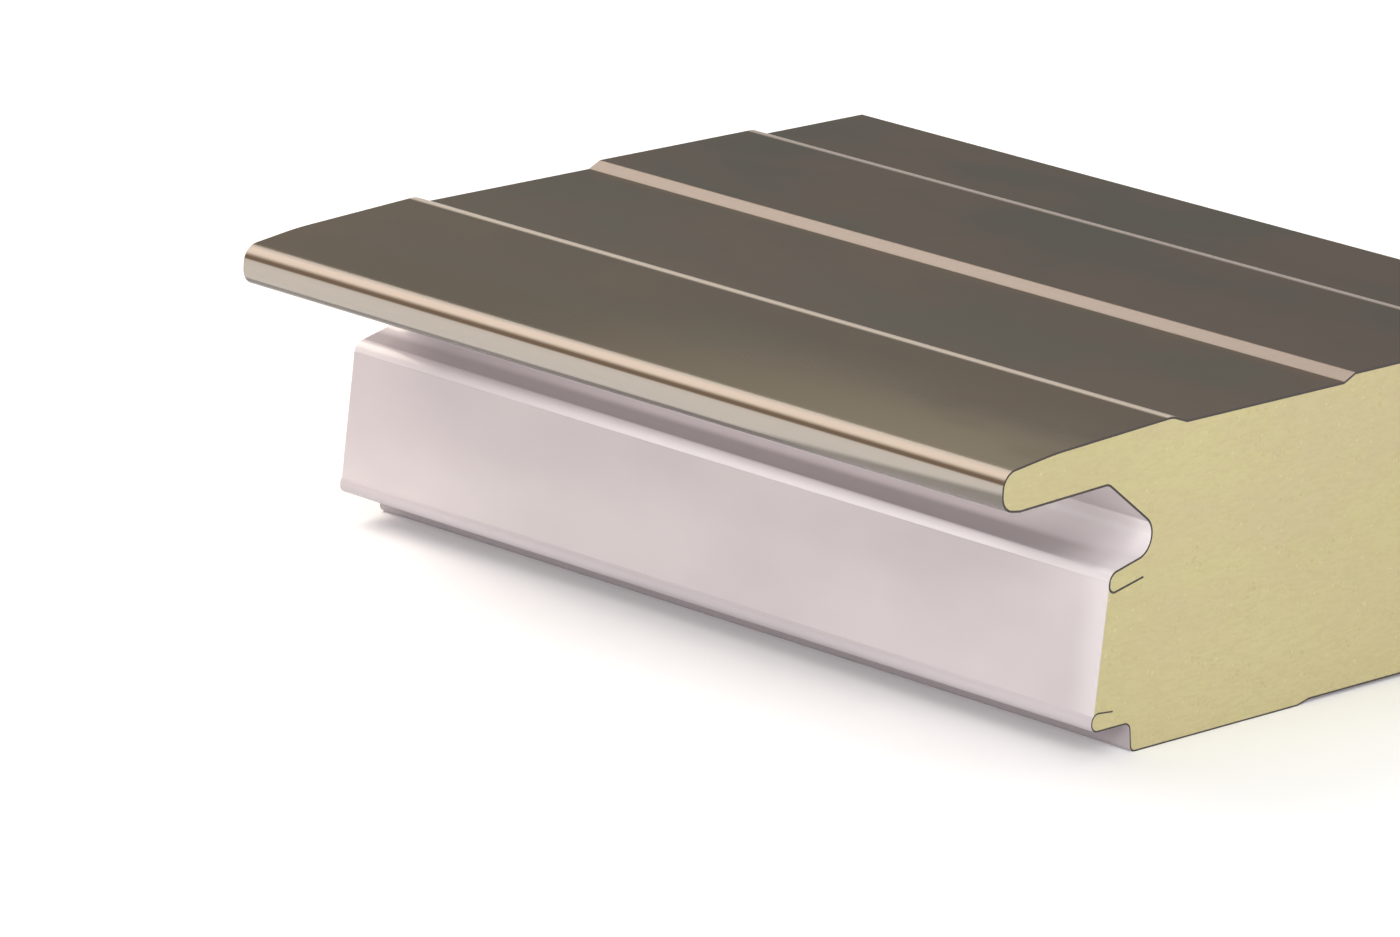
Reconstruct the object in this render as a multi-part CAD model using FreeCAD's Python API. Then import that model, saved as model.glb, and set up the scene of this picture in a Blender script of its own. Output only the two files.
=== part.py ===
import FreeCAD, Part
import math
import os

# An insulated wall panel with hidden fixing, a sample length of the long product.
# It lies flat with its weather face up: X runs from the nose edge to the tongue edge,
# Y along the panel and Z through its thickness. Millimetres, origin at the bottom centre.

# Overall sizes
LENGTH = 310.0
THICKNESS = 100.0          # underside to the raised flats
FACE_WIDTH = 280.0         # nose front to the top corner above the tongue
OUTER_SHEET = 0.7
INNER_SHEET = 0.5
FOIL = 0.3

# Ribs of the two faces
RIB_PITCH = 76.5
OUTER_RIB_DEPTH = 2.2
STEP_DOWN_RUN = 6.5
STEP_UP_RUN = 5.0
INNER_RIB_DEPTH = 1.2
INNER_STEP_RUN = 5.5
INNER_FIRST_STEP = 79.5    # corner of the underside to the middle of the first step
STEP_RADIUS = 1.5
STEP_BROW_RADIUS = 8.0     # where a raised flat turns down, as a soft brow
BEND_SHARE = 0.98          # how much of a flat the bends at its two ends may take

# Nose edge, upper half: distances from the nose front and down from the raised flats
CROWN = 22.0               # where the first flat turns down towards the nose
CROWN_DROP = 2.4
CROWN_RADIUS = 120.0
NOSE_FALL = 5.05
NOSE_HEIGHT = 11.65
NOSE_TOP_RADIUS = 5.7
NOSE_UNDER_RADIUS = 5.5
KEEL = 8.2                 # the nose's lowest fold
KEEL_DROP = 1.15
KEEL_RADIUS = 1.0
GROOVE_APEX = 46.4
GROOVE_CEILING_RISE = 1.45
APEX_RADIUS = 3.5
GROOVE_FOLD = 75.3         # where the groove's slope and its floor would meet
GROOVE_FOLD_DROP = 37.6
GROOVE_RADIUS = 6.2
LIP_TIP = 49.45
LIP_TOP_DROP = 43.4
LIP_HEIGHT = 6.85
LIP_TOP_RADIUS = 3.8
LIP_UNDER_RADIUS = 2.6
LIP_HOOK = 15.3
HOOK_RISE = 3.1
FOIL_KNEE = 0.6            # where the foil turns upright, over the lip's underside
FOIL_LAP = 4.3             # how far up the lip's front the foil reaches
FOIL_STAND_OUT = 0.25      # how far it stands out over the lip at its knee
FOIL_LAP_OUT = 0.1         # and at its top edge

# Nose edge, lower half: heights from the underside
RECESS_WALL = 62.8
RECESS_HEIGHT = 9.1
RECESS_LEAN = 1.2          # how far the wall leans back towards the underside
RECESS_RADIUS = 2.5
LOWER_HOOK_REACH = 17.1    # from the recess wall out to the hook's round nose
LOWER_HOOK_HEIGHT = 6.2
LOWER_HOOK_RADIUS = 2.9
LOWER_HOOK_LENGTH = 9.3
LOWER_HOOK_FALL = 0.8
HOOK_OVERHANG = 0.6        # how far the hook's round nose stands out from the foil
UNDERSIDE_RADIUS = 2.4

# Tongue edge, upper half: distances from the top corner and down from the raised flats
CORNER_RADIUS = 2.0
INNER_CORNER_RADIUS = 2.5
LEDGE_CORNER_RADIUS = 1.2
COVER_LEDGE_DROP = 14.2
COVER_LEDGE_WIDTH = 13.3
SCREW_LEDGE_DROP = 28.4
SCREW_LEDGE_WIDTH = 15.2
BEAD_DEPTH = 2.2
BEAD_FALL = 4.7
BEAD_RISE = 5.3
BEAD_RADIUS = 2.0
TONGUE_STEP = 0.4          # the tongue's top over the screw ledge
TONGUE_TIP = 61.5
TONGUE_HEIGHT = 9.1
TONGUE_RADIUS = 4.0
TONGUE_UNDER_SLOPE = 1.5
ROOT_RADIUS = 3.5
SIDE_FACE = 45.0
SIDE_RETURN = 6.0

# Tongue edge, lower half
LOWER_LIP = 65.5
LOWER_LIP_HEIGHT = 5.8
LOWER_LIP_RADIUS = 2.0
LIP_ROOT_RADIUS = 2.5
LIP_UPSTAND = 5.7

# Gasket on the tongue side's foil
GASKET_THICKNESS = 8.0
GASKET_WAIST = 6.0         # thinner half way up
GASKET_END_RADIUS = 4.6
GASKET_WAIST_RADIUS = 180.0
GASKET_GAP = 0.4           # from the sheets above and below it

# Worked out from the sizes above
TOTAL_WIDTH = FACE_WIDTH + LOWER_LIP
SIDE_X = FACE_WIDTH + SIDE_FACE
LEFT, RIGHT = 1.0, -1.0
CLEAR_SPACE = 20.0
TOLERANCE = 0.0001


def from_top(drop):
    """Height of a point that lies this far below the raised flats."""
    return THICKNESS - drop


def unit(start, end):
    """Unit vector from one point of the section to the next."""
    length = math.hypot(end[0] - start[0], end[1] - start[1])
    return ((end[0] - start[0]) / length, (end[1] - start[1]) / length)


def turn_at(before, corner, after):
    """Signed turn at a corner, left positive, with the two directions."""
    into, out = unit(before, corner), unit(corner, after)
    cross = into[0] * out[1] - into[1] * out[0]
    return math.atan2(cross, into[0] * out[0] + into[1] * out[1]), into, out


def section_point(x, z):
    """Point of the near end face, with the origin moved under the panel's middle."""
    return FreeCAD.Vector(x - TOTAL_WIDTH / 2.0, -LENGTH / 2.0, z)


def bend_radii(folds):
    """Radius of each inner fold, smaller where two bends would outgrow the flat between them."""
    turns = [0.0] * len(folds)
    for index in range(1, len(folds) - 1):
        turns[index] = abs(turn_at(folds[index - 1], folds[index], folds[index + 1])[0])
    reaches = [fold[2] * math.tan(turn / 2.0) for fold, turn in zip(folds, turns)]
    shares = []
    for index in range(len(folds) - 1):
        flat = math.dist(folds[index][:2], folds[index + 1][:2])
        wanted = reaches[index] + reaches[index + 1]
        shares.append(min(1.0, BEND_SHARE * flat / wanted))
    inner = [fold[2] * min(pair) for fold, pair in zip(folds[1:], zip(shares, shares[1:]))]
    return [0.0] + inner + [0.0]


def bend_edges(folds, radii):
    """Straight runs joined by tangent arcs, one arc at each inner fold."""
    edges, start = [], folds[0][:2]
    for index in range(1, len(folds) - 1):
        corner, radius = folds[index][:2], radii[index]
        turn, into, out = turn_at(folds[index - 1], corner, folds[index + 1])
        reach = radius * math.tan(abs(turn) / 2.0)
        first = (corner[0] - into[0] * reach, corner[1] - into[1] * reach)
        last = (corner[0] + out[0] * reach, corner[1] + out[1] * reach)
        middle_way = (out[0] - into[0], out[1] - into[1])
        size = math.hypot(*middle_way)
        depth = math.hypot(reach, radius) - radius
        middle = (corner[0] + middle_way[0] / size * depth, corner[1] + middle_way[1] / size * depth)
        edges.append(Part.LineSegment(section_point(*start), section_point(*first)).toShape())
        arc = Part.Arc(section_point(*first), section_point(*middle), section_point(*last))
        edges.append(arc.toShape())
        start = last
    end = folds[-1][:2]
    edges.append(Part.LineSegment(section_point(*start), section_point(*end)).toShape())
    return edges


def offset_folds(folds, radii, side, thickness):
    """The sheet's other face: each fold moved square to its two flats."""
    moved, moved_radii = [], []
    for index, fold in enumerate(folds):
        before = folds[max(index - 1, 0)]
        after = folds[min(index + 1, len(folds) - 1)]
        if index in (0, len(folds) - 1):
            along = unit(before, after)
            moved.append((fold[0] - along[1] * side * thickness,
                          fold[1] + along[0] * side * thickness))
            moved_radii.append(0.0)
            continue
        turn, into, out = turn_at(before, fold, after)
        normal = (-into[1] - out[1], into[0] + out[0])
        size = math.hypot(*normal)
        reach = side * thickness / math.cos(turn / 2.0)
        moved.append((fold[0] + normal[0] / size * reach, fold[1] + normal[1] / size * reach))
        moved_radii.append(radii[index] - math.copysign(1.0, turn) * side * thickness)
    return moved, moved_radii


def folded_sheet(folds, side, thickness):
    """Section of a folded sheet, from its visible face towards the foam."""
    radii = bend_radii(folds)
    hidden_folds, hidden_radii = offset_folds(folds, radii, side, thickness)
    edges = bend_edges(folds, radii) + bend_edges(hidden_folds, hidden_radii)
    for visible, hidden in ((folds[0], hidden_folds[0]), (folds[-1], hidden_folds[-1])):
        edges.append(Part.LineSegment(section_point(*visible[:2]), section_point(*hidden)).toShape())
    return Part.Face(Part.Wire(Part.__sortEdges__(edges)))


def extrude(face):
    """Solid of one section over the panel's whole length."""
    return face.extrude(FreeCAD.Vector(0.0, LENGTH, 0.0))


def outer_rib_folds():
    """Steps between raised and lowered flats, and the level that reaches the tongue edge."""
    folds, level, step, raised = [], from_top(0.0), RIB_PITCH, True
    while step + STEP_DOWN_RUN < FACE_WIDTH:
        run = STEP_DOWN_RUN if raised else STEP_UP_RUN
        below = from_top(OUTER_RIB_DEPTH) if raised else from_top(0.0)
        folds.append((step - run / 2.0, level, STEP_BROW_RADIUS if raised else STEP_RADIUS))
        folds.append((step + run / 2.0, below, STEP_RADIUS))
        level, raised, step = below, not raised, step + RIB_PITCH
    return folds, level


def nose_folds():
    """From the lip's hook in the foam, round the groove and the nose, to the first flat."""
    lip_top = from_top(LIP_TOP_DROP)
    lip_under = lip_top - LIP_HEIGHT
    nose_top = from_top(NOSE_FALL)
    nose_under = nose_top - NOSE_HEIGHT
    keel = nose_under - KEEL_DROP
    return [
        (LIP_TIP + LIP_HOOK, lip_under + HOOK_RISE, 0.0),
        (LIP_TIP, lip_under, LIP_UNDER_RADIUS),
        (LIP_TIP, lip_top, LIP_TOP_RADIUS),
        (GROOVE_FOLD, from_top(GROOVE_FOLD_DROP), GROOVE_RADIUS),
        (GROOVE_APEX, keel + GROOVE_CEILING_RISE, APEX_RADIUS),
        (KEEL, keel, KEEL_RADIUS),
        (0.0, nose_under, NOSE_UNDER_RADIUS),
        (0.0, nose_top, NOSE_TOP_RADIUS),
        (CROWN, from_top(CROWN_DROP), CROWN_RADIUS),
    ]


def tongue_folds(level):
    """From the top corner down the two ledges, round the tongue and down behind the gasket."""
    cover_ledge = from_top(COVER_LEDGE_DROP)
    screw_ledge = from_top(SCREW_LEDGE_DROP)
    tongue_top = screw_ledge + TONGUE_STEP
    tongue_under = tongue_top - TONGUE_HEIGHT
    root = tongue_under - TONGUE_UNDER_SLOPE
    bead = COVER_LEDGE_WIDTH + SCREW_LEDGE_WIDTH
    steps = [
        (0.0, level, CORNER_RADIUS),
        (0.0, cover_ledge, INNER_CORNER_RADIUS),
        (COVER_LEDGE_WIDTH, cover_ledge, LEDGE_CORNER_RADIUS),
        (COVER_LEDGE_WIDTH, screw_ledge, INNER_CORNER_RADIUS),
        (bead, screw_ledge, BEAD_RADIUS),
        (bead + BEAD_FALL, screw_ledge - BEAD_DEPTH, BEAD_RADIUS),
        (bead + BEAD_FALL + BEAD_RISE, tongue_top, BEAD_RADIUS),
        (TONGUE_TIP, tongue_top, TONGUE_RADIUS),
        (TONGUE_TIP, tongue_under, TONGUE_RADIUS),
        (SIDE_FACE, root, ROOT_RADIUS),
        (SIDE_FACE, root - SIDE_RETURN, 0.0),
    ]
    return [(FACE_WIDTH + x, z, radius) for x, z, radius in steps]


def outer_sheet_folds():
    """Visible face of the weather sheet, edge to edge."""
    ribs, level = outer_rib_folds()
    return nose_folds() + ribs + tongue_folds(level)


def inner_rib_folds():
    """Steps of the underside between its low flats and its recessed flats."""
    folds, level, step = [], 0.0, RECESS_WALL + INNER_FIRST_STEP
    while step + RIB_PITCH < SIDE_X or level > 0.0:
        other = INNER_RIB_DEPTH - level
        folds.append((step - INNER_STEP_RUN / 2.0, level, STEP_RADIUS))
        folds.append((step + INNER_STEP_RUN / 2.0, other, STEP_RADIUS))
        level, step = other, step + RIB_PITCH
    return folds


def inner_sheet_folds():
    """Visible face of the room-side sheet, from its hook to the lower lip's root."""
    hook_x = RECESS_WALL - LOWER_HOOK_REACH
    hook_top = RECESS_HEIGHT + LOWER_HOOK_HEIGHT
    nose_side = [
        (hook_x + LOWER_HOOK_LENGTH, hook_top - LOWER_HOOK_FALL, 0.0),
        (hook_x, hook_top, LOWER_HOOK_RADIUS),
        (hook_x, RECESS_HEIGHT, LOWER_HOOK_RADIUS),
        (RECESS_WALL, RECESS_HEIGHT, RECESS_RADIUS),
        (RECESS_WALL + RECESS_LEAN, 0.0, UNDERSIDE_RADIUS),
    ]
    tongue_side = [
        (TOTAL_WIDTH, 0.0, LOWER_LIP_RADIUS),
        (TOTAL_WIDTH, LOWER_LIP_HEIGHT, LOWER_LIP_RADIUS),
        (SIDE_X, LOWER_LIP_HEIGHT, LIP_ROOT_RADIUS),
        (SIDE_X, LOWER_LIP_HEIGHT + LIP_UPSTAND, 0.0),
    ]
    return nose_side + inner_rib_folds() + tongue_side


def polygon(points):
    """Flat face with straight sides."""
    corners = [section_point(*point) for point in points]
    return Part.Face(Part.makePolygon(corners + corners[:1]))


def nose_side_foil(sheets):
    """Foil on the foam, from the lower hook's round nose up over the lip's front."""
    lip_under = from_top(LIP_TOP_DROP + LIP_HEIGHT)
    visible = [
        (RECESS_WALL - LOWER_HOOK_REACH + HOOK_OVERHANG,
         RECESS_HEIGHT + LOWER_HOOK_HEIGHT - LOWER_HOOK_RADIUS),
        (LIP_TIP - FOIL_STAND_OUT, lip_under + FOIL_KNEE),
        (LIP_TIP - FOIL_LAP_OUT, lip_under + FOIL_LAP),
    ]
    hidden = [(x + FOIL, z) for x, z in visible]
    strip = polygon(visible + hidden[::-1])
    return max(strip.cut(sheets).Faces, key=lambda face: face.Area)


def right_side():
    """Heights between which the tongue side stands upright."""
    root = tongue_folds(0.0)[-2][1]
    return LOWER_LIP_HEIGHT + LIP_ROOT_RADIUS, root - ROOT_RADIUS


def tongue_side_foil():
    """Foil on the foam between the tongue's root and the lower lip."""
    foot, head = right_side()
    return polygon([(SIDE_X, foot), (SIDE_X + FOIL, foot), (SIDE_X + FOIL, head), (SIDE_X, head)])


def gasket():
    """Soft strip stuck to the tongue side's foil, thinner half way up."""
    back = SIDE_X + FOIL
    foot, head = right_side()
    folds = [
        (back, head - GASKET_GAP, 0.0),
        (back + GASKET_THICKNESS, head - GASKET_GAP, GASKET_END_RADIUS),
        (back + GASKET_WAIST, (head + foot) / 2.0, GASKET_WAIST_RADIUS),
        (back + GASKET_THICKNESS, foot + GASKET_GAP, GASKET_END_RADIUS),
        (back, foot + GASKET_GAP, 0.0),
    ]
    edges = bend_edges(folds, bend_radii(folds))
    ends = [section_point(*folds[-1][:2]), section_point(*folds[0][:2])]
    edges.append(Part.LineSegment(*ends).toShape())
    return Part.Face(Part.Wire(Part.__sortEdges__(edges)))


def foam_section(shells):
    """The space that the sheets and the foils enclose, with the sheets' hooks buried in it."""
    left, right = -CLEAR_SPACE, TOTAL_WIDTH + CLEAR_SPACE
    bottom, top = -CLEAR_SPACE, THICKNESS + CLEAR_SPACE
    around = polygon([(left, bottom), (right, bottom), (right, top), (left, top)])
    middle = section_point(FACE_WIDTH / 2.0, THICKNESS / 2.0)
    return next(face for face in around.cut(shells).Faces if face.isInside(middle, TOLERANCE, True))


def build():
    """Write each piece of the panel."""
    outer_face = folded_sheet(outer_sheet_folds(), RIGHT, OUTER_SHEET)
    inner_face = folded_sheet(inner_sheet_folds(), LEFT, INNER_SHEET)
    nose_foil = nose_side_foil([outer_face, inner_face])
    tongue_foil = tongue_side_foil()
    sections = {
        "outer_sheet": outer_face,
        "inner_sheet": inner_face,
        "insulation_core": foam_section([outer_face, inner_face, nose_foil, tongue_foil]),
        "nose_side_foil": nose_foil,
        "tongue_side_foil": tongue_foil,
        "joint_gasket": gasket(),
    }
    os.makedirs("parts", exist_ok=True)
    for node, face in sections.items():
        solid = extrude(face)
        box = solid.BoundBox
        print(node, solid.isValid(), len(solid.Solids), round(solid.Volume),
              [round(value, 2) for value in (box.XMin, box.XMax, box.YMin, box.YMax, box.ZMin, box.ZMax)])
        solid.exportStep("parts/" + node + ".step")


build()
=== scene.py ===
import math

import bpy
from mathutils import Matrix, Vector


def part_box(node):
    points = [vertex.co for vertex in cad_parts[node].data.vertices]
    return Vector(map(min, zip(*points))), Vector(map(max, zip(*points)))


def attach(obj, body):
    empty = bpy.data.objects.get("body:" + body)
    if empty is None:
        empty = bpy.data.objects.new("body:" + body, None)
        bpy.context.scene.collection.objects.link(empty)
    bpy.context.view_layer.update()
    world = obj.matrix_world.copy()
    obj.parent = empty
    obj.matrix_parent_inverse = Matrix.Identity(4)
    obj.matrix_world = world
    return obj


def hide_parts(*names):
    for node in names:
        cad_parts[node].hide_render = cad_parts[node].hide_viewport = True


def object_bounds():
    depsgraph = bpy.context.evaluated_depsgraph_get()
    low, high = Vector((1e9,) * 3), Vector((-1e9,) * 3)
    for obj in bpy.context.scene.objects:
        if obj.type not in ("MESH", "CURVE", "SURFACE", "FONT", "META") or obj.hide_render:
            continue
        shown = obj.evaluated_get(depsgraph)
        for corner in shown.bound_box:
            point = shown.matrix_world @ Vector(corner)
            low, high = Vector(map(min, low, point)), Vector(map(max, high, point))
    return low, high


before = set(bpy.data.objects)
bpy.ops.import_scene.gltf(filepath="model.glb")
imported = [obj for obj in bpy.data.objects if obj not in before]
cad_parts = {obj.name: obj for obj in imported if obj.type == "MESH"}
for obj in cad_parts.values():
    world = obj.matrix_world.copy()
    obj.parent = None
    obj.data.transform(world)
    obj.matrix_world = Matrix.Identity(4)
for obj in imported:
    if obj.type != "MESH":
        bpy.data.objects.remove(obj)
packed_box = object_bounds()

# Outer sheet: zinc-coated steel strip, painted flat and then rolled into the ribs, the nose and its
# groove, and the two ledges and the tongue. Where a rib turns, pale painted highlights lie on the
# dark weather paint. The paint stops on the nose's front and the tongue's tip, and the joint behind
# has no weather paint, only grey and pale primer with painted light and shade on it.
SAWN_STEEL = (0.030, 0.018, 0.018, 1.0)
SAWN_TURN = (0.70, 0.72)


def add_node(tree, kind, sockets=None, **settings):
    """One node, its settings, and its sockets given by a value or by a link."""
    node = tree.nodes.new(kind)
    for name, value in settings.items():
        setattr(node, name, value)
    for name, value in (sockets or {}).items():
        if isinstance(value, bpy.types.NodeSocket):
            tree.links.new(value, node.inputs[name])
        else:
            node.inputs[name].default_value = value
    return node


def sum_of(tree, operation, first, second=0.0, third=0.0):
    """Result of one sum on numbers."""
    values = {0: first, 1: second, 2: third}
    return add_node(tree, "ShaderNodeMath", values, operation=operation).outputs[0]


def product(tree, first, *others):
    """Product of all the numbers, taken in turn."""
    for other in others:
        first = sum_of(tree, "MULTIPLY", first, other)
    return first


def blend_colours(tree, share, first, second):
    """Mix of two colours."""
    node = add_node(tree, "ShaderNodeMix", {0: share, 6: first, 7: second}, data_type="RGBA")
    return node.outputs[2]


def rise(tree, value, low, high):
    """0 at the low mark, 1 at the high one, smooth between. The low mark may be the greater."""
    sockets = {"Value": value, "From Min": low, "From Max": high}
    return add_node(tree, "ShaderNodeMapRange", sockets, interpolation_type="SMOOTHSTEP").outputs[0]


def cloud(tree, place, scale, detail, roughness=0.5, stretch=(1.0, 1.0, 1.0)):
    """Soft noise on the piece's own coordinates, longer along an axis with a small stretch."""
    spread = add_node(tree, "ShaderNodeMapping", {"Vector": place, "Scale": stretch})
    sockets = {"Vector": spread.outputs[0], "Scale": scale, "Detail": detail, "Roughness": roughness}
    return add_node(tree, "ShaderNodeTexNoise", sockets).outputs["Fac"]


def patches(tree, place, marks, **grain):
    """Soft patches: a cloud's rise between two marks."""
    return rise(tree, cloud(tree, place, **grain), *marks)


def axes_of(tree, vector):
    """The X, Y and Z of a place or a direction, by name."""
    return add_node(tree, "ShaderNodeSeparateXYZ", {0: vector}).outputs


def new_finish(name):
    """Material with its tree, its surface shader and the piece's own coordinates."""
    finish = bpy.data.materials.new(name)
    finish.use_nodes = True
    tree = finish.node_tree
    place = add_node(tree, "ShaderNodeTexCoord").outputs["Object"]
    return finish, tree, tree.nodes["Principled BSDF"], place


def roughen(tree, shader, height, strength, distance):
    """Bump of the surface from a pattern of heights."""
    sockets = {"Strength": strength, "Distance": distance, "Height": height}
    bump = add_node(tree, "ShaderNodeBump", sockets)
    tree.links.new(bump.outputs[0], shader.inputs["Normal"])


def coat_sheet(tree, shader, place, skin, gloss_gain, gloss_base):
    """Bare steel on the two sawn ends, the given coat elsewhere, and the coat's fine orange peel."""
    true_normal = add_node(tree, "ShaderNodeNewGeometry").outputs["True Normal"]
    sawn = rise(tree, sum_of(tree, "ABSOLUTE", axes_of(tree, true_normal)["Y"]), *SAWN_TURN)
    tree.links.new(blend_colours(tree, sawn, skin, SAWN_STEEL), shader.inputs["Base Color"])
    peel = cloud(tree, place, scale=900.0, detail=2.0)
    roughness = sum_of(tree, "MULTIPLY_ADD", peel, gloss_gain, gloss_base)
    tree.links.new(roughness, shader.inputs["Roughness"])
    roughen(tree, shader, peel, strength=0.05, distance=0.0001)


def wear(node_name, finish):
    """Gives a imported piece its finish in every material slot."""
    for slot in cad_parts[node_name].material_slots:
        slot.material = finish


weather_paint, tree, shader, place = new_finish("weather_paint")
at = axes_of(tree, place)
from_nose = sum_of(tree, "SUBTRACT", at["X"], packed_box[0][0])
from_end = sum_of(tree, "SUBTRACT", at["Y"], packed_box[0][1])
normal = axes_of(tree, add_node(tree, "ShaderNodeNewGeometry").outputs["Normal"])

# The dark paint of the face is brown and green. A painted light gradient makes it lighter and warmer
# towards the nose, and a painted glow lies in olive patches near the nose at the near end. A pair of
# marks says where a tone starts and where it is full, in metres from the nose, the near end or the
# floor. A pair named for a tilt or a turn is on the surface's normal instead.
PAINT_BROWN = (0.072, 0.050, 0.031, 1.0)
PAINT_GREEN = (0.053, 0.047, 0.029, 1.0)
WARM_PAINTED_LIGHT = (0.112, 0.088, 0.060, 1.0)
OLIVE_PAINTED_GLOW = (0.165, 0.138, 0.090, 1.0)
WARM_FROM_NOSE = (0.21275, 0.02275)
WARM_SHARE = 0.45
OLIVE_FROM_NOSE = (0.062, 0.004)
OLIVE_FROM_END = (0.230, 0.020)
mottle = patches(tree, place, marks=(0.32, 0.68), scale=26.0, detail=2.0, stretch=(1.0, 0.6, 1.0))
paint_and_painted_light = blend_colours(tree, mottle, PAINT_BROWN, PAINT_GREEN)
# Painted light: lighter and warmer towards the nose.
warm_painted_light = product(tree, rise(tree, from_nose, *WARM_FROM_NOSE), WARM_SHARE)
paint_and_painted_light = blend_colours(tree, warm_painted_light, paint_and_painted_light, WARM_PAINTED_LIGHT)
# Patches of painted olive glow near the nose and the near end.
glow_patches = patches(tree, place, marks=(0.24, 0.52), scale=20.0, detail=3.0, stretch=(1.0, 0.5, 1.0))
near_nose = rise(tree, from_nose, *OLIVE_FROM_NOSE)
near_end = rise(tree, from_end, *OLIVE_FROM_END)
paint_and_painted_light = blend_colours(tree, product(tree, near_nose, near_end, glow_patches), paint_and_painted_light, OLIVE_PAINTED_GLOW)

# The pale bands are painted highlights: on the ribs' slopes, on the nose's round with a thin painted
# dark reflection line under it, and as a bright brow at the far edge of each crown. Near the nose the
# face leans by itself, so more tilt is needed there.
RIB_HIGHLIGHT = (0.288, 0.224, 0.177, 1.0)
RIB_TILT = (0.06, 0.38)
FACE_UP = (0.0922, 0.0935)
NOSE_LEAN = 0.26
NOSE_LEAN_FROM_NOSE = (0.040, 0.030)
NOSE_HIGHLIGHT = (0.325, 0.250, 0.190, 1.0)
NOSE_LOW_HIGHLIGHT = (0.370, 0.290, 0.225, 1.0)
NOSE_PALE_UP = (0.0952, 0.0934)
NOSE_ROUND_FROM_NOSE = (0.0120, 0.0110)
NOSE_DARK_REFLECTION = (0.110, 0.072, 0.046, 1.0)
NOSE_LINE_UP = (0.0935, 0.0924)
BROW_HIGHLIGHT = (0.530, 0.460, 0.380, 1.0)
BROW_FAR_HIGHLIGHT = (0.370, 0.315, 0.275, 1.0)
BROW_FAR_FROM_NOSE = (0.100, 0.200)
RIB_REPEAT = 0.153
BROW_START = 0.0714
BROW_END = 0.0747
BROW_FADE = 0.0018
PAINT_EDGE = 0.0003
on_face = rise(tree, at["Z"], *FACE_UP)
on_nose = rise(tree, from_nose, *NOSE_ROUND_FROM_NOSE)
lean = product(tree, rise(tree, from_nose, *NOSE_LEAN_FROM_NOSE), NOSE_LEAN)
tilt = sum_of(tree, "SUBTRACT", sum_of(tree, "ABSOLUTE", normal["X"]), lean)
turned = product(tree, rise(tree, tilt, *RIB_TILT), on_face)
low_nose = product(tree, on_nose, rise(tree, at["Z"], *NOSE_LINE_UP))
paint_and_painted_light = blend_colours(tree, low_nose, paint_and_painted_light, NOSE_DARK_REFLECTION)
nose_highlight = blend_colours(tree, rise(tree, at["Z"], *NOSE_PALE_UP), NOSE_HIGHLIGHT, NOSE_LOW_HIGHLIGHT)
paint_and_painted_light = blend_colours(tree, turned, paint_and_painted_light, blend_colours(tree, on_nose, RIB_HIGHLIGHT, nose_highlight))
in_repeat = sum_of(tree, "MODULO", from_nose, RIB_REPEAT)
past_start = rise(tree, in_repeat, BROW_START - BROW_FADE, BROW_START + PAINT_EDGE)
before_end = rise(tree, in_repeat, BROW_END + PAINT_EDGE, BROW_END - PAINT_EDGE)
brow = product(tree, past_start, before_end, on_face)
brow_highlight = blend_colours(tree, rise(tree, from_nose, *BROW_FAR_FROM_NOSE), BROW_HIGHLIGHT, BROW_FAR_HIGHLIGHT)
paint_and_painted_light = blend_colours(tree, brow, paint_and_painted_light, brow_highlight)

# The primer in the joint is pale. Deep in and at the cut it is made paler with painted light, and the
# groove's roof has painted shade.
PRIMER_PALE = (0.69, 0.632, 0.645, 1.0)
PRIMER_GREY = (0.62, 0.565, 0.578, 1.0)
PRIMER_DEEP_PAINTED_LIGHT = (0.84, 0.775, 0.785, 1.0)
PRIMER_CUT_PAINTED_LIGHT = (0.78, 0.724, 0.733, 1.0)
PRIMER_SHADE = (0.45, 0.405, 0.413, 1.0)
DEEP_FROM_NEAR_END = (0.015, 0.055)
DEEP_FROM_FAR_PART = (0.290, 0.170)
CUT_FROM_END = (0.010, 0.002)
ROOF_TURN = (-0.62, -0.74)
grey = patches(tree, place, marks=(0.38, 0.68), scale=26.0, detail=3.0, stretch=(1.0, 0.4, 1.0))
primer_and_painted_light = blend_colours(tree, grey, PRIMER_PALE, PRIMER_GREY)
past_near_end = rise(tree, from_end, *DEEP_FROM_NEAR_END)
before_far_part = rise(tree, from_end, *DEEP_FROM_FAR_PART)
deep_in = product(tree, past_near_end, before_far_part)
primer_and_painted_light = blend_colours(tree, deep_in, primer_and_painted_light, PRIMER_DEEP_PAINTED_LIGHT)
primer_and_painted_light = blend_colours(tree, rise(tree, from_end, *CUT_FROM_END), primer_and_painted_light, PRIMER_CUT_PAINTED_LIGHT)
primer_and_painted_light = blend_colours(tree, rise(tree, normal["Z"], *ROOF_TURN), primer_and_painted_light, PRIMER_SHADE)

# The lip has a painted highlight on its front, paler deep in, and a band of painted shade behind its
# bend, and the bend runs a little askew.
LIP_HIGHLIGHT = (0.70, 0.645, 0.650, 1.0)
LIP_DEEP_HIGHLIGHT = (0.92, 0.86, 0.865, 1.0)
LIP_UP = (0.0615, 0.0600)
LIP_BEND = 0.0506
LIP_BEND_SKEW = 0.008
LIP_PAST_BEND = (0.0, 0.0006)
LIP_BEFORE_BEND = (0.0, -0.0005)
LIP_BAND_FROM_NOSE = (0.0620, 0.0580)
LIP_BAND_FROM_END = (0.003, 0.028)
lip_top = rise(tree, at["Z"], *LIP_UP)
bend = sum_of(tree, "MULTIPLY_ADD", from_end, LIP_BEND_SKEW, LIP_BEND)
past_bend = sum_of(tree, "SUBTRACT", from_nose, bend)
band = product(tree, rise(tree, past_bend, *LIP_PAST_BEND), rise(tree, from_nose, *LIP_BAND_FROM_NOSE))
band = product(tree, band, lip_top, rise(tree, from_end, *LIP_BAND_FROM_END))
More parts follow.
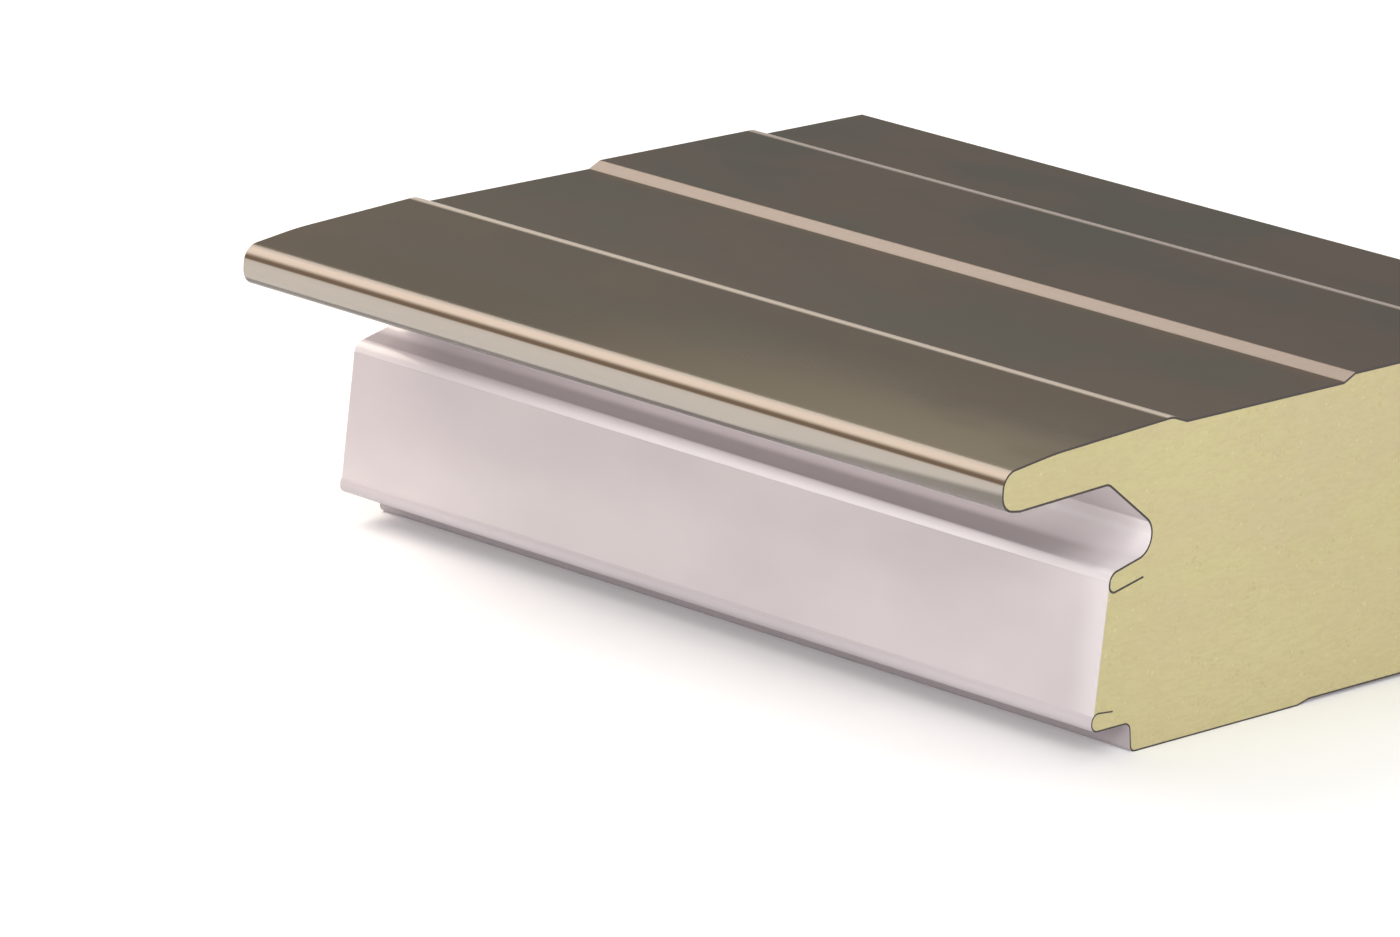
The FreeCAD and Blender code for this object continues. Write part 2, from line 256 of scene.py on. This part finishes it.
primer_and_painted_light = blend_colours(tree, band, primer_and_painted_light, PRIMER_SHADE)
lip_front = product(tree, rise(tree, past_bend, *LIP_BEFORE_BEND), lip_top)
primer_and_painted_light = blend_colours(tree, lip_front, primer_and_painted_light, blend_colours(tree, deep_in, LIP_HIGHLIGHT, LIP_DEEP_HIGHLIGHT))

# The nose's front has a painted grey reflection, with a darker foot of painted shade that is highest
# at the near end, and further along it has a painted dark shade line at its lower edge.
NOSE_GREY_REFLECTION = (0.352, 0.314, 0.270, 1.0)
NOSE_SHADE = (0.145, 0.128, 0.108, 1.0)
NOSE_EDGE_SHADE = (0.045, 0.032, 0.024, 1.0)
NOSE_FRONT_FROM_NOSE = (0.0095, 0.0070)
SHADE_TOP = 0.0888
SHADE_LOWEST_TOP = 0.0850
SHADE_SLOPE = -0.036
SHADE_SOFT = 0.0010
NOSE_EDGE_UP = (0.0856, 0.0846)
NOSE_EDGE_FROM_END = (0.050, 0.110)
shade_top = sum_of(tree, "MULTIPLY_ADD", from_end, SHADE_SLOPE, SHADE_TOP)
shade_top = sum_of(tree, "MAXIMUM", shade_top, SHADE_LOWEST_TOP)
over_shade = sum_of(tree, "SUBTRACT", at["Z"], shade_top)
nose_painted_reflection_and_shade = blend_colours(tree, rise(tree, over_shade, -SHADE_SOFT, SHADE_SOFT), NOSE_SHADE, NOSE_GREY_REFLECTION)
low_edge = product(tree, rise(tree, at["Z"], *NOSE_EDGE_UP), rise(tree, from_end, *NOSE_EDGE_FROM_END))
nose_painted_reflection_and_shade = blend_colours(tree, low_edge, nose_painted_reflection_and_shade, NOSE_EDGE_SHADE)
primer_and_painted_light = blend_colours(tree, rise(tree, from_nose, *NOSE_FRONT_FROM_NOSE), primer_and_painted_light, nose_painted_reflection_and_shade)

# The weather paint ends higher on the nose side than on the tongue side.
NOSE_PAINT_END = 0.0914
TONGUE_PAINT_END = 0.0670
TONGUE_SIDE = (-0.001, 0.001)
side = rise(tree, at["X"], *TONGUE_SIDE)
paint_end = sum_of(tree, "MULTIPLY_ADD", side, TONGUE_PAINT_END - NOSE_PAINT_END, NOSE_PAINT_END)
over_end = sum_of(tree, "SUBTRACT", at["Z"], paint_end)
painted = rise(tree, over_end, -PAINT_EDGE, PAINT_EDGE)
skin = blend_colours(tree, painted, primer_and_painted_light, paint_and_painted_light)
coat_sheet(tree, shader, place, skin, gloss_gain=0.06, gloss_base=0.20)
wear("outer_sheet", weather_paint)

# Inner sheet: thinner steel strip in a pale room-side paint, rolled with a hook and a recess on the
# nose side, low flats over its face, and the lower lip on the tongue side. Its sawn ends are bare.
ROOM_PALE = (0.52, 0.47, 0.49, 1.0)
ROOM_GREY = (0.45, 0.41, 0.43, 1.0)
HOOK_HIGHLIGHT = (0.55, 0.49, 0.504, 1.0)
HOOK_FROM_NOSE = (0.0560, 0.0550)
HOOK_UP = (0.0092, 0.0145)
RECESS_SHADE = (0.42, 0.37, 0.385, 1.0)
RECESS_FROM_NOSE = (0.0665, 0.0645)
RECESS_UP = (0.0108, 0.0088)
room_paint, tree, shader, place = new_finish("room_paint")
at = axes_of(tree, place)
from_nose = sum_of(tree, "SUBTRACT", at["X"], packed_box[0][0])
grey = patches(tree, place, marks=(0.36, 0.66), scale=22.0, detail=3.0, stretch=(1.0, 0.4, 1.0))
skin = blend_colours(tree, grey, ROOM_PALE, ROOM_GREY)
# Painted light on the hook's upper front, and painted shade in the recess under it.
hook = product(tree, rise(tree, from_nose, *HOOK_FROM_NOSE), rise(tree, at["Z"], *HOOK_UP))
skin = blend_colours(tree, hook, skin, HOOK_HIGHLIGHT)
recess = product(tree, rise(tree, from_nose, *RECESS_FROM_NOSE), rise(tree, at["Z"], *RECESS_UP))
skin = blend_colours(tree, recess, skin, RECESS_SHADE)
coat_sheet(tree, shader, place, skin, gloss_gain=0.08, gloss_base=0.34)
wear("inner_sheet", room_paint)

# Insulation core: rigid yellow foam that rises between the two sheets and sticks to them. The saw
# opens its cells at both ends, with pale and dark specks and faint lines of flow along the face.
FOAM_YELLOW = (0.588, 0.526, 0.284, 1.0)
FOAM_TAN = (0.580, 0.505, 0.300, 1.0)
FOAM_GREEN = (0.580, 0.530, 0.290, 1.0)
FOAM_FOOT_PAINTED_LIGHT = (0.640, 0.570, 0.315, 1.0)
FOOT_UP = (0.055, 0.0)
FOOT_SHARE = 0.50
FOAM_NOSE_PAINTED_SHADE = (0.520, 0.470, 0.248, 1.0)
FOAM_NOSE_FROM_NOSE = (0.085, 0.020)
FOAM_NOSE_SHARE = 0.50
FOAM_DEEP = (0.470, 0.410, 0.215, 1.0)
FOAM_LIGHT = (0.720, 0.665, 0.410, 1.0)
GRAIN_MARKS = (0.62, 0.35)
GRAIN_SHARE = 0.27
CELLS_PER_METRE = 1250.0
PIT_MARKS = (0.86, 0.94)
PIT_SHARE = 0.45
GLINT_MARKS = (0.988, 0.996)
GLINT_SHARE = 0.40
foam, tree, shader, place = new_finish("foam")
at = axes_of(tree, place)
from_nose = sum_of(tree, "SUBTRACT", at["X"], packed_box[0][0])
flow = patches(tree, place, marks=(0.40, 0.62), scale=42.0, detail=4.0, roughness=0.6,
               stretch=(0.55, 1.0, 1.3))
body = blend_colours(tree, flow, FOAM_YELLOW, FOAM_TAN)
green = patches(tree, place, marks=(0.54, 0.72), scale=130.0, detail=3.0, roughness=0.6,
                stretch=(0.7, 1.0, 1.2))
body = blend_colours(tree, green, body, FOAM_GREEN)
# Painted light and shade: lighter towards the foot and darker towards the nose.
painted_light_at_foot = product(tree, rise(tree, at["Z"], *FOOT_UP), FOOT_SHARE)
body = blend_colours(tree, painted_light_at_foot, body, FOAM_FOOT_PAINTED_LIGHT)
painted_shade_at_nose = product(tree, rise(tree, from_nose, *FOAM_NOSE_FROM_NOSE), FOAM_NOSE_SHARE)
body = blend_colours(tree, painted_shade_at_nose, body, FOAM_NOSE_PAINTED_SHADE)

# The opened cells: grain all over, pits in crowds, and a few cells that catch the light.
cell_sockets = {"Vector": place, "Scale": CELLS_PER_METRE, "Randomness": 1.0}
cell = add_node(tree, "ShaderNodeTexVoronoi", cell_sockets)
tint = add_node(tree, "ShaderNodeSeparateColor", {0: cell.outputs["Color"]}).outputs
crowd = patches(tree, place, marks=(0.42, 0.66), scale=130.0, detail=3.0, roughness=0.6,
                stretch=(0.6, 1.0, 1.2))
pits = product(tree, rise(tree, tint["Red"], *PIT_MARKS), crowd)
glints = rise(tree, tint["Green"], *GLINT_MARKS)
grain = cloud(tree, place, scale=900.0, detail=3.0, roughness=0.7, stretch=(0.30, 1.0, 1.1))
dark_grain = product(tree, rise(tree, grain, *GRAIN_MARKS), GRAIN_SHARE)
body = blend_colours(tree, dark_grain, body, FOAM_DEEP)
body = blend_colours(tree, product(tree, pits, PIT_SHARE), body, FOAM_DEEP)
body = blend_colours(tree, product(tree, glints, GLINT_SHARE), body, FOAM_LIGHT)
tree.links.new(body, shader.inputs["Base Color"])
shader.inputs["Roughness"].default_value = 0.85
shader.inputs["Specular IOR Level"].default_value = 0.2
roughen(tree, shader, sum_of(tree, "SUBTRACT", grain, pits), strength=0.25, distance=0.0003)
wear("insulation_core", foam)

# Side foils: a pale laminated foil on each long side of the foam, laid in before the foam rises. It
# keeps the cell gas in and closes the joint, with soft long creases from the roll.
FOIL_LILAC = (0.530, 0.472, 0.484, 1.0)
FOIL_SHEEN = (0.600, 0.544, 0.546, 1.0)
FOIL_EDGE_HIGHLIGHT = (0.66, 0.602, 0.608, 1.0)
FOIL_EDGE_FROM_END = (0.012, 0.0)
foil, tree, shader, place = new_finish("side_foil")
from_end = sum_of(tree, "SUBTRACT", axes_of(tree, place)["Y"], packed_box[0][1])
# The foil's tone has a painted sheen in soft patches and a painted highlight along the cut.
sheen = patches(tree, place, marks=(0.34, 0.68), scale=16.0, detail=3.0, stretch=(1.0, 0.6, 1.0))
tone = blend_colours(tree, sheen, FOIL_LILAC, FOIL_SHEEN)
tone = blend_colours(tree, rise(tree, from_end, *FOIL_EDGE_FROM_END), tone, FOIL_EDGE_HIGHLIGHT)
tree.links.new(tone, shader.inputs["Base Color"])
shader.inputs["Roughness"].default_value = 0.42
crease = cloud(tree, place, scale=60.0, detail=3.0, stretch=(1.0, 0.25, 1.6))
roughen(tree, shader, crease, strength=0.12, distance=0.0008)
wear("nose_side_foil", foil)
wear("tongue_side_foil", foil)

# Joint gasket: a strip of soft dark foam on the tongue side's foil, cut with the panel. It is thick
# at its two ends and thinner half way up, and its outside is lumpy, because it was foamed in place.
GASKET_BROWN = (0.020, 0.011, 0.004, 1.0)
GASKET_RUST = (0.080, 0.040, 0.014, 1.0)
GASKET_GREY = (0.120, 0.090, 0.065, 1.0)
SQUARE_ACROSS = 0.42
SQUARE_UP = 0.30
SMALLEST_REACH = 0.000001
LUMP_LEVEL = 0.62
LUMP_GAIN = 4.0
CUT_FACE_TURN = 0.7
gasket_low, gasket_high = (Vector(corner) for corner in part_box("joint_gasket"))

strip = bpy.data.node_groups.new("gasket_strip", "GeometryNodeTree")
strip.is_modifier = True
for name, value in {"Back": gasket_low.x, "Thickness": gasket_high.x - gasket_low.x,
                    "Foot": gasket_low.z, "Height": gasket_high.z - gasket_low.z,
                    "Near End": gasket_low.y, "Length": gasket_high.y - gasket_low.y,
                    "Waist": 0.22, "Lump Depth": 0.0010, "Lumps per Metre": 120.0}.items():
    strip.interface.new_socket(name, socket_type="NodeSocketFloat").default_value = value
strip.interface.new_socket("Finish", socket_type="NodeSocketMaterial")
strip.interface.new_socket("Strip", in_out="OUTPUT", socket_type="NodeSocketGeometry")
given = add_node(strip, "NodeGroupInput").outputs
roll_sockets = {"Vertices": 96, "Side Segments": 420, "Fill Segments": 7, "Radius": 1.0, "Depth": 1.0}
roll = add_node(strip, "GeometryNodeMeshCylinder", roll_sockets, fill_type="TRIANGLE_FAN")
spot = axes_of(strip, add_node(strip, "GeometryNodeInputPosition").outputs[0])


def squared_off(value, power):
    """The number's size raised to a power, with its sign kept."""
    size = sum_of(strip, "POWER", sum_of(strip, "ABSOLUTE", value), power)
    return product(strip, size, sum_of(strip, "SIGN", value))


# The roll starts round, one metre in radius and in length. Its section is squared off.
across_square = product(strip, spot["X"], spot["X"])
up_square = product(strip, spot["Y"], spot["Y"])
reach = sum_of(strip, "SQRT", sum_of(strip, "ADD", across_square, up_square))
safe_reach = sum_of(strip, "MAXIMUM", reach, SMALLEST_REACH)
across = squared_off(sum_of(strip, "DIVIDE", spot["X"], safe_reach), SQUARE_ACROSS)
across = product(strip, across, reach)
up = squared_off(sum_of(strip, "DIVIDE", spot["Y"], safe_reach), SQUARE_UP)
up = product(strip, up, reach)

# It is drawn in at the waist and brought to the strip's place and size on the foil.
belly = sum_of(strip, "SUBTRACT", 1.0, product(strip, up, up))
narrow = sum_of(strip, "SUBTRACT", 1.0, product(strip, belly, given["Waist"]))
out_share = product(strip, sum_of(strip, "MULTIPLY_ADD", across, 0.5, 0.5), narrow)
up_share = sum_of(strip, "MULTIPLY_ADD", up, 0.5, 0.5)
along_share = sum_of(strip, "ADD", spot["Z"], 0.5)
depth = sum_of(strip, "MULTIPLY_ADD", out_share, given["Thickness"], given["Back"])
along = sum_of(strip, "MULTIPLY_ADD", along_share, given["Length"], given["Near End"])
height = sum_of(strip, "MULTIPLY_ADD", up_share, given["Height"], given["Foot"])
smooth_spot = add_node(strip, "ShaderNodeCombineXYZ", {0: depth, 1: along, 2: height}).outputs[0]

# Lumps push its outside in and out, and leave its back flat.
lump_sockets = {"Vector": smooth_spot, "Scale": given["Lumps per Metre"], "Detail": 4.0, "Roughness": 0.65}
lumps = add_node(strip, "ShaderNodeTexNoise", lump_sockets).outputs["Fac"]
lump = sum_of(strip, "SUBTRACT", lumps, LUMP_LEVEL)
lump = product(strip, lump, given["Lump Depth"], LUMP_GAIN, out_share, reach)
lumpy_depth = sum_of(strip, "MULTIPLY_ADD", across, lump, depth)
lumpy_height = sum_of(strip, "MULTIPLY_ADD", up, lump, height)
lumpy_axes = {0: lumpy_depth, 1: along, 2: lumpy_height}
lumpy_spot = add_node(strip, "ShaderNodeCombineXYZ", lumpy_axes).outputs[0]
shape_sockets = {"Geometry": roll.outputs["Mesh"], "Position": lumpy_spot}
shaped = add_node(strip, "GeometryNodeSetPosition", shape_sockets)
real = add_node(strip, "GeometryNodeRealizeInstances", {"Geometry": shaped.outputs[0]})
finish_sockets = {"Geometry": real.outputs[0], "Material": given["Finish"]}
finished = add_node(strip, "GeometryNodeSetMaterial", finish_sockets)
add_node(strip, "NodeGroupOutput", {0: finished.outputs[0]})

gasket_foam, tree, shader, place = new_finish("gasket_foam")
rust = patches(tree, place, marks=(0.56, 0.74), scale=300.0, detail=3.0, roughness=0.6)
crumb = patches(tree, place, marks=(0.68, 0.80), scale=900.0, detail=2.0, roughness=0.6)
soft_body = blend_colours(tree, rust, GASKET_BROWN, GASKET_RUST)
soft_body = blend_colours(tree, crumb, soft_body, GASKET_GREY)
tree.links.new(soft_body, shader.inputs["Base Color"])
shader.inputs["Roughness"].default_value = 0.9
shader.inputs["Specular IOR Level"].default_value = 0.2
pores = cloud(tree, place, scale=700.0, detail=4.0, roughness=0.7)
roughen(tree, shader, pores, strength=0.6, distance=0.0006)

rough_strip = bpy.data.objects.new("gasket_rough", bpy.data.meshes.new("gasket_rough"))
bpy.context.scene.collection.objects.link(rough_strip)
shaper = rough_strip.modifiers.new("strip", "NODES")
shaper.node_group = strip
for socket in strip.interface.items_tree:
    if socket.name == "Finish":
        shaper[socket.identifier] = gasket_foam
evaluated = rough_strip.evaluated_get(bpy.context.evaluated_depsgraph_get())
gasket = bpy.data.objects.new("soft_gasket", bpy.data.meshes.new_from_object(evaluated))
bpy.context.scene.collection.objects.link(gasket)
bpy.data.objects.remove(rough_strip)
for face in gasket.data.polygons:
    face.use_smooth = abs(face.normal.y) < CUT_FACE_TURN
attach(gasket, "root")
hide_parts("joint_gasket")

# Studio: a plain pale floor and soft lights: one at the front left, a low one at the side that
# reaches into the groove, a low one before the sawn end, one overhead, and one behind and above,
# whose reflection runs along the nose and the steps. Far from the panel the floor glows by itself.
FLOOR_PALE = (0.94, 0.94, 0.94, 1.0)
FLOOR_DIM = (0.134, 0.134, 0.134, 1.0)
FLOOR_REACH = 9.0
GLOW_FAR_OFF = (0.9, 2.6)
GLOW_STRENGTH = 0.70
AIR_TINT = (0.96, 0.97, 1.0, 1.0)
AIR_STRENGTH = 0.24
floor_paint, tree, shader, place = new_finish("floor")
shader.inputs["Base Color"].default_value = FLOOR_PALE
far_off = add_node(tree, "ShaderNodeVectorMath", {0: place}, operation="LENGTH").outputs["Value"]
floor_glow = blend_colours(tree, rise(tree, far_off, *GLOW_FAR_OFF), FLOOR_DIM, FLOOR_PALE)
tree.links.new(floor_glow, shader.inputs["Emission Color"])
shader.inputs["Emission Strength"].default_value = GLOW_STRENGTH
shader.inputs["Roughness"].default_value = 0.9
shader.inputs["Specular IOR Level"].default_value = 0.1
floor_mesh = bpy.data.meshes.new("floor")
floor_sides = ((-1, -1), (1, -1), (1, 1), (-1, 1))
floor_corners = [(x * FLOOR_REACH, y * FLOOR_REACH, 0.0) for x, y in floor_sides]
floor_mesh.from_pydata(floor_corners, [], [(0, 1, 2, 3)])
floor_mesh.materials.append(floor_paint)
floor = bpy.data.objects.new("floor", floor_mesh)
bpy.context.scene.collection.objects.link(floor)


def soft_light(name, azimuth, elevation, distance, size, radiance, colour, mirrored=True):
    """Flat light that faces the panel's middle, azimuth from +Y towards +X. A light that isn't
    mirrored lights the sheets but doesn't show in their gloss."""
    width, height = size
    lamp = bpy.data.lights.new(name, "AREA")
    lamp.shape, lamp.size, lamp.size_y = "RECTANGLE", width, height
    lamp.energy, lamp.color = radiance * math.pi * width * height, colour
    turn, lift = math.radians(azimuth), math.radians(elevation)
    way = Vector((math.sin(turn) * math.cos(lift), math.cos(turn) * math.cos(lift), math.sin(lift)))
    holder = bpy.data.objects.new(name, lamp)
    holder.location = way * distance
    holder.rotation_euler = way.to_track_quat("Z", "Y").to_euler()
    holder.visible_glossy = mirrored
    bpy.context.scene.collection.objects.link(holder)


soft_light("back_softbox", azimuth=-16.0, elevation=48.0, distance=1.7, size=(1.6, 0.9),
           radiance=4.5, colour=(1.0, 0.90, 0.80))
soft_light("left_softbox", azimuth=-138.0, elevation=38.0, distance=2.6, size=(2.4, 1.2),
           radiance=3.75, colour=(1.0, 0.99, 0.98))
soft_light("side_softbox", azimuth=-98.0, elevation=17.0, distance=2.6, size=(1.8, 0.5),
           radiance=6.2, colour=(1.0, 0.99, 0.99), mirrored=False)
soft_light("front_softbox", azimuth=178.0, elevation=5.0, distance=2.6, size=(1.8, 0.6),
           radiance=1.95, colour=(1.0, 1.0, 0.98), mirrored=False)
soft_light("top_softbox", azimuth=60.0, elevation=80.0, distance=2.4, size=(2.6, 2.6),
           radiance=1.0, colour=(1.0, 1.0, 1.0))
world = bpy.data.worlds.new("studio")
world.use_nodes = True
world.node_tree.nodes["Background"].inputs["Color"].default_value = AIR_TINT
world.node_tree.nodes["Background"].inputs["Strength"].default_value = AIR_STRENGTH
bpy.context.scene.world = world
bpy.context.scene.view_settings.view_transform = "Standard"

# Camera: the photograph's view, from the nose side and the near end, a little above the panel. Its
# place is in metres, and its three directions are what the camera fitted to the edges looks along.
CAMERA_PLACE = (-2.11121, -1.82390, 0.80873)
CAMERA_RIGHT = Vector((0.6873346, -0.7244362, 0.0525667))
CAMERA_DOWN = Vector((-0.1613483, -0.2228470, -0.9614083))
CAMERA_FORWARD = Vector((0.7081933, 0.6523276, -0.2700570))
LENS_MM = 241.36
FILM_WIDTH_MM = 36.0
camera_data = bpy.data.cameras.new("camera")
camera_data.lens, camera_data.sensor_width = LENS_MM, FILM_WIDTH_MM
camera_data.clip_start, camera_data.clip_end = 0.1, 60.0
camera = bpy.data.objects.new("camera", camera_data)
camera_axes = Matrix((CAMERA_RIGHT, -CAMERA_DOWN, -CAMERA_FORWARD)).transposed()
camera.matrix_world = Matrix.Translation(CAMERA_PLACE) @ camera_axes.to_4x4()
bpy.context.scene.collection.objects.link(camera)
bpy.context.scene.camera = camera
